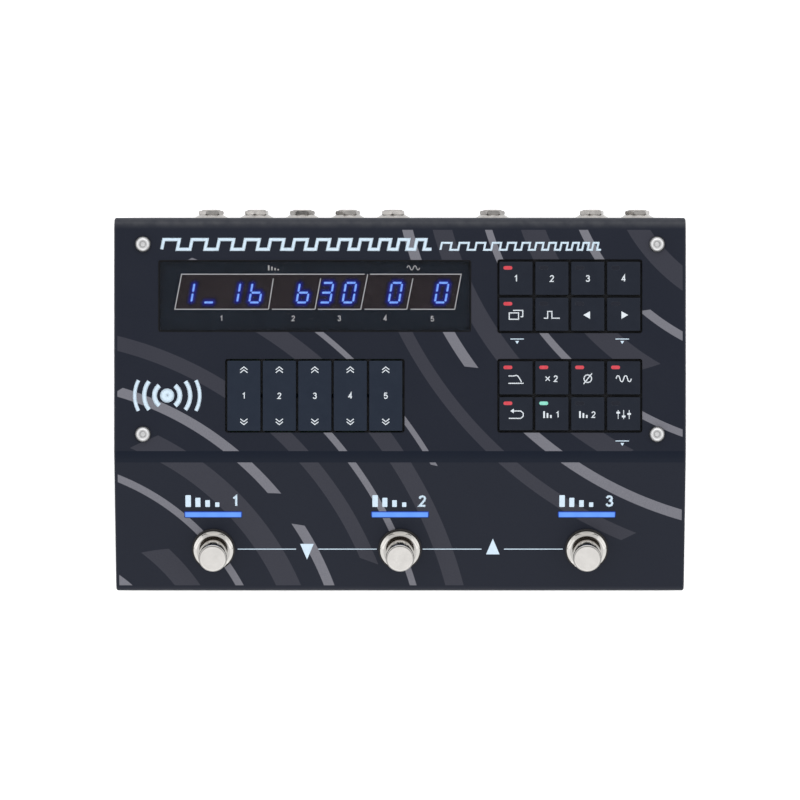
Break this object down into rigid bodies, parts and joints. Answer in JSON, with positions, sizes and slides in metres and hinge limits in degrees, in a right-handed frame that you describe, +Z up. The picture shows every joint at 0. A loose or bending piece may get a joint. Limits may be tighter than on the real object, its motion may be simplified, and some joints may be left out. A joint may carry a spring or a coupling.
{
  "type": "digital delay pedal",
  "caption": "Wedge-fronted floor effects unit with a wide display, square and rocker keys, foot switches with light bars, and a row of jacks at the rear.",
  "frame": {"origin": "on the surface the pedal stands on, below the middle of its outline, jacks included", "axes": "+X to the player's right, +Y to the rear where the jacks are, +Z up"},
  "size_m": [0.271, 0.182, 0.0632],
  "materials": {
    "case_paint": "satin dark blue-grey powder paint with printed pattern",
    "rear_paint": "satin dark blue-grey powder paint",
    "base_steel": "fine textured black powder paint",
    "foot_rubber": "matt black rubber",
    "zinc_screws": "bright zinc plate",
    "black_screws": "black zinc plate",
    "panel_screws": "nickel plate",
    "window_lens": "smoked acrylic lens",
    "digit_face": "dark display modules",
    "black_plastic": "moulded black plastic",
    "board_green": "green solder mask",
    "switch_plastic": "small black switches",
    "led_chips": "white LED chips",
    "chip_black": "black epoxy",
    "capacitor_can": "aluminium cans",
    "jack_nickel": "nickel-plated bush",
    "jack_nickel_nut": "nickel-plated nut",
    "jack_nickel_washer": "nickel-plated washer",
    "socket_plastic": "black moulded sockets",
    "usb_steel": "stainless shell",
    "switch_body_blue": "blue moulded switch case",
    "switch_nickel": "nickel-plated threaded bush",
    "switch_nut_nickel": "nickel-plated heavy nut",
    "washer_black": "black fibre washer",
    "light_bar_blue": "blue light guide, lit",
    "ribbon_grey": "grey ribbon cable",
    "lead_wire": "insulated wire",
    "key_cap": "dark moulded key with printed marks",
    "switch_cap_nickel": "nickel-plated cap",
    "panel_print": "pale blue printed marks on the panel",
    "key_print": "white printed marks on keys and lens",
    "window_border": "dark printed border under the lens",
    "lit_digits": "lit blue digit segments",
    "key_lamp_red": "lit red key window",
    "key_lamp_green": "lit green key window",
    "key_lamp_dark": "unlit key window"
  },
  "bodies": {
    "housing": {"top_case": "case_paint", "rear_panel": "rear_paint", "bottom_cover": "base_steel", "rubber_feet": "foot_rubber", "foot_screws": "zinc_screws", "bottom_screws": "black_screws", "case_screws": "panel_screws", "clinch_nuts": "zinc_screws", "display_window": "window_lens", "digit_modules": "digit_face", "key_guides": "black_plastic", "rocker_frame": "black_plastic", "panel_board": "board_green", "tact_switches": "switch_plastic", "leds": "led_chips", "panel_spacers": "zinc_screws", "board_screws": "zinc_screws", "main_board": "board_green", "processor_chips": "chip_black", "capacitors": "capacitor_can", "board_standoffs": "zinc_screws", "jack_board": "board_green", "jacks": "jack_nickel", "jack_nuts": "jack_nickel_nut", "jack_washers": "jack_nickel_washer", "mini_jacks": "socket_plastic", "usb_port": "usb_steel", "dc_inlet": "socket_plastic", "foot_switch_bodies": "switch_body_blue", "foot_switch_bushes": "switch_nickel", "foot_switch_nuts": "switch_nut_nickel", "foot_switch_washers": "washer_black", "light_bars": "light_bar_blue", "light_bar_board": "board_green", "ribbon_cables": "ribbon_grey", "foot_switch_leads": "lead_wire"},
    "upper_key_1": {"upper_key_1": "key_cap"},
    "upper_key_2": {"upper_key_2": "key_cap"},
    "upper_key_3": {"upper_key_3": "key_cap"},
    "upper_key_4": {"upper_key_4": "key_cap"},
    "upper_key_5": {"upper_key_5": "key_cap"},
    "upper_key_6": {"upper_key_6": "key_cap"},
    "upper_key_7": {"upper_key_7": "key_cap"},
    "upper_key_8": {"upper_key_8": "key_cap"},
    "lower_key_1": {"lower_key_1": "key_cap"},
    "lower_key_2": {"lower_key_2": "key_cap"},
    "lower_key_3": {"lower_key_3": "key_cap"},
    "lower_key_4": {"lower_key_4": "key_cap"},
    "lower_key_5": {"lower_key_5": "key_cap"},
    "lower_key_6": {"lower_key_6": "key_cap"},
    "lower_key_7": {"lower_key_7": "key_cap"},
    "lower_key_8": {"lower_key_8": "key_cap"},
    "rocker_key_1": {"rocker_key_1": "key_cap"},
    "rocker_key_2": {"rocker_key_2": "key_cap"},
    "rocker_key_3": {"rocker_key_3": "key_cap"},
    "rocker_key_4": {"rocker_key_4": "key_cap"},
    "rocker_key_5": {"rocker_key_5": "key_cap"},
    "foot_switch_cap_1": {"foot_switch_cap_1": "switch_cap_nickel"},
    "foot_switch_cap_2": {"foot_switch_cap_2": "switch_cap_nickel"},
    "foot_switch_cap_3": {"foot_switch_cap_3": "switch_cap_nickel"}
  },
  "joints": [
    {"name": "upper_key_1_press", "type": "slide", "parent": "housing", "child": "upper_key_1", "axis": [0, 0, -1], "range_m": [0, 0.0007], "stiffness_N_per_m": 1000, "springref_m": -0.00005},
    {"name": "upper_key_2_press", "type": "slide", "parent": "housing", "child": "upper_key_2", "axis": [0, 0, -1], "range_m": [0, 0.0007], "stiffness_N_per_m": 1000, "springref_m": -0.00005},
    {"name": "upper_key_3_press", "type": "slide", "parent": "housing", "child": "upper_key_3", "axis": [0, 0, -1], "range_m": [0, 0.0007], "stiffness_N_per_m": 1000, "springref_m": -0.00005},
    {"name": "upper_key_4_press", "type": "slide", "parent": "housing", "child": "upper_key_4", "axis": [0, 0, -1], "range_m": [0, 0.0007], "stiffness_N_per_m": 1000, "springref_m": -0.00005},
    {"name": "upper_key_5_press", "type": "slide", "parent": "housing", "child": "upper_key_5", "axis": [0, 0, -1], "range_m": [0, 0.0007], "stiffness_N_per_m": 1000, "springref_m": -0.00005},
    {"name": "upper_key_6_press", "type": "slide", "parent": "housing", "child": "upper_key_6", "axis": [0, 0, -1], "range_m": [0, 0.0007], "stiffness_N_per_m": 1000, "springref_m": -0.00005},
    {"name": "upper_key_7_press", "type": "slide", "parent": "housing", "child": "upper_key_7", "axis": [0, 0, -1], "range_m": [0, 0.0007], "stiffness_N_per_m": 1000, "springref_m": -0.00005},
    {"name": "upper_key_8_press", "type": "slide", "parent": "housing", "child": "upper_key_8", "axis": [0, 0, -1], "range_m": [0, 0.0007], "stiffness_N_per_m": 1000, "springref_m": -0.00005},
    {"name": "lower_key_1_press", "type": "slide", "parent": "housing", "child": "lower_key_1", "axis": [0, 0, -1], "range_m": [0, 0.0007], "stiffness_N_per_m": 1000, "springref_m": -0.00005},
    {"name": "lower_key_2_press", "type": "slide", "parent": "housing", "child": "lower_key_2", "axis": [0, 0, -1], "range_m": [0, 0.0007], "stiffness_N_per_m": 1000, "springref_m": -0.00005},
    {"name": "lower_key_3_press", "type": "slide", "parent": "housing", "child": "lower_key_3", "axis": [0, 0, -1], "range_m": [0, 0.0007], "stiffness_N_per_m": 1000, "springref_m": -0.00005},
    {"name": "lower_key_4_press", "type": "slide", "parent": "housing", "child": "lower_key_4", "axis": [0, 0, -1], "range_m": [0, 0.0007], "stiffness_N_per_m": 1000, "springref_m": -0.00005},
    {"name": "lower_key_5_press", "type": "slide", "parent": "housing", "child": "lower_key_5", "axis": [0, 0, -1], "range_m": [0, 0.0007], "stiffness_N_per_m": 1000, "springref_m": -0.00005},
    {"name": "lower_key_6_press", "type": "slide", "parent": "housing", "child": "lower_key_6", "axis": [0, 0, -1], "range_m": [0, 0.0007], "stiffness_N_per_m": 1000, "springref_m": -0.00005},
    {"name": "lower_key_7_press", "type": "slide", "parent": "housing", "child": "lower_key_7", "axis": [0, 0, -1], "range_m": [0, 0.0007], "stiffness_N_per_m": 1000, "springref_m": -0.00005},
    {"name": "lower_key_8_press", "type": "slide", "parent": "housing", "child": "lower_key_8", "axis": [0, 0, -1], "range_m": [0, 0.0007], "stiffness_N_per_m": 1000, "springref_m": -0.00005},
    {"name": "rocker_key_1_rock", "type": "hinge", "parent": "housing", "child": "rocker_key_1", "pos_m": [-0.07395, 0.002, 0.0555], "axis": [1, 0, 0], "range_deg": [-2, 2], "stiffness_Nm_per_rad": 0.7},
    {"name": "rocker_key_2_rock", "type": "hinge", "parent": "housing", "child": "rocker_key_2", "pos_m": [-0.05715, 0.002, 0.0555], "axis": [1, 0, 0], "range_deg": [-2, 2], "stiffness_Nm_per_rad": 0.7},
    {"name": "rocker_key_3_rock", "type": "hinge", "parent": "housing", "child": "rocker_key_3", "pos_m": [-0.04035, 0.002, 0.0555], "axis": [1, 0, 0], "range_deg": [-2, 2], "stiffness_Nm_per_rad": 0.7},
    {"name": "rocker_key_4_rock", "type": "hinge", "parent": "housing", "child": "rocker_key_4", "pos_m": [-0.02355, 0.002, 0.0555], "axis": [1, 0, 0], "range_deg": [-2, 2], "stiffness_Nm_per_rad": 0.7},
    {"name": "rocker_key_5_rock", "type": "hinge", "parent": "housing", "child": "rocker_key_5", "pos_m": [-0.00675, 0.002, 0.0555], "axis": [1, 0, 0], "range_deg": [-2, 2], "stiffness_Nm_per_rad": 0.7},
    {"name": "foot_switch_1_press", "type": "slide", "parent": "housing", "child": "foot_switch_cap_1", "axis": [0, 0.309, -0.9511], "range_m": [0, 0.003], "stiffness_N_per_m": 1500, "springref_m": -0.0005},
    {"name": "foot_switch_2_press", "type": "slide", "parent": "housing", "child": "foot_switch_cap_2", "axis": [0, 0.309, -0.9511], "range_m": [0, 0.003], "stiffness_N_per_m": 1500, "springref_m": -0.0005},
    {"name": "foot_switch_3_press", "type": "slide", "parent": "housing", "child": "foot_switch_cap_3", "axis": [0, 0.309, -0.9511], "range_m": [0, 0.003], "stiffness_N_per_m": 1500, "springref_m": -0.0005}
  ]
}
